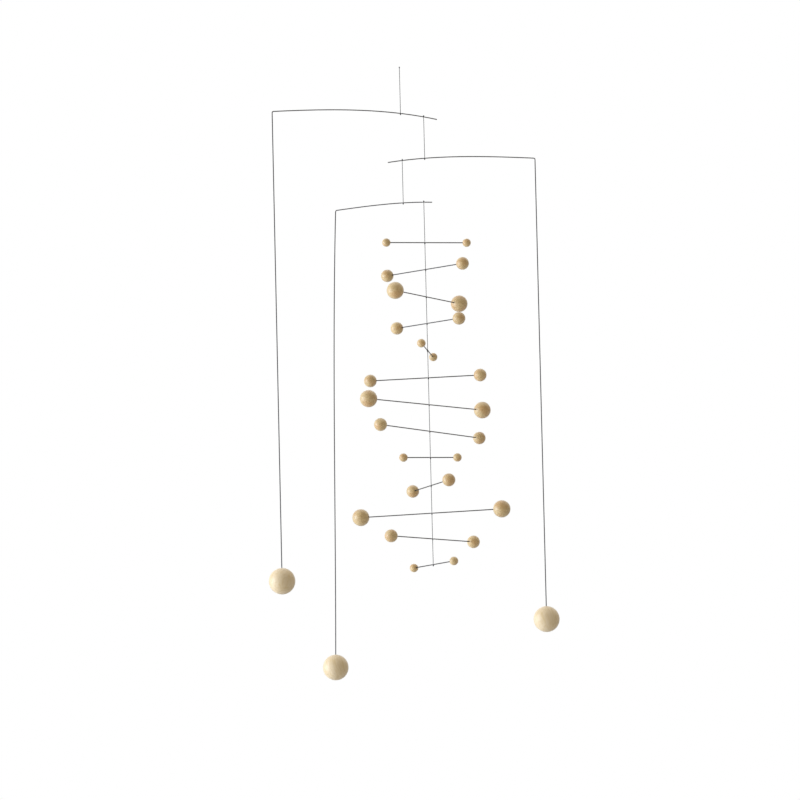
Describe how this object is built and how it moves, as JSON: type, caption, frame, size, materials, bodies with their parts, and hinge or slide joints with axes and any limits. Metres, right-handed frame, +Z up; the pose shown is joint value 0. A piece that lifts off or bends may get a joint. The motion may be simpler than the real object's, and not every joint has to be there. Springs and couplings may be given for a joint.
{
  "type": "hanging mobile",
  "caption": "Kinetic hanging mobile: bent wire arms with long ball-weighted legs carry a central stack of cross-rods with turned wooden balls on their ends.",
  "frame": {"origin": "top end of the hanging thread, where the mobile is tied up", "axes": "+Z up along the hanging thread; -Y faces the viewer, +X to the viewer's right; arms at rest as they hang in still air"},
  "size_m": [0.3312, 0.1591, 0.7259],
  "materials": {
    "balls": "pale turned hardwood, sanded smooth, clear matt oil",
    "wire": "dark blued spring-steel wire, satin",
    "thread": "dark twisted thread, matt"
  },
  "bodies": {
    "hanger": {"top_thread": "thread"},
    "tier_1": {"arm_1": "wire", "weight_ball_1": "balls", "link_thread_2": "thread"},
    "tier_2": {"arm_2": "wire", "weight_ball_2": "balls", "link_thread_3": "thread"},
    "tier_3": {"arm_3": "wire", "weight_ball_3": "balls"},
    "stack": {"spine_thread": "thread", "rod_01": "wire", "rod_02": "wire", "rod_03": "wire", "rod_04": "wire", "rod_05": "wire", "rod_06": "wire", "rod_07": "wire", "rod_08": "wire", "rod_09": "wire", "rod_10": "wire", "rod_11": "wire", "rod_12": "wire", "rod_13": "wire", "ball_01_a": "balls", "ball_01_b": "balls", "ball_02_a": "balls", "ball_02_b": "balls", "ball_03_a": "balls", "ball_03_b": "balls", "ball_04_a": "balls", "ball_04_b": "balls", "ball_05_a": "balls", "ball_05_b": "balls", "ball_06_a": "balls", "ball_06_b": "balls", "ball_07_a": "balls", "ball_07_b": "balls", "ball_08_a": "balls", "ball_08_b": "balls", "ball_09_a": "balls", "ball_09_b": "balls", "ball_10_a": "balls", "ball_10_b": "balls", "ball_11_a": "balls", "ball_11_b": "balls", "ball_12_a": "balls", "ball_12_b": "balls", "ball_13_a": "balls", "ball_13_b": "balls"}
  },
  "joints": [
    {"name": "tier_1_turn", "type": "hinge", "parent": "hanger", "child": "tier_1", "pos_m": [0, 0, -0.0577], "axis": [0, 0, 1], "continuous": true},
    {"name": "tier_2_turn", "type": "hinge", "parent": "tier_1", "child": "tier_2", "pos_m": [0.02764, 0.01289, -0.11004], "axis": [0, 0, 1], "continuous": true},
    {"name": "tier_3_turn", "type": "hinge", "parent": "tier_2", "child": "tier_3", "pos_m": [0.00071, 0.01477, -0.16363], "axis": [0, 0, 1], "continuous": true},
    {"name": "stack_turn", "type": "hinge", "parent": "tier_3", "child": "stack", "pos_m": [0.0251, 0.00442, -0.1659], "axis": [0, 0, 1], "continuous": true}
  ]
}
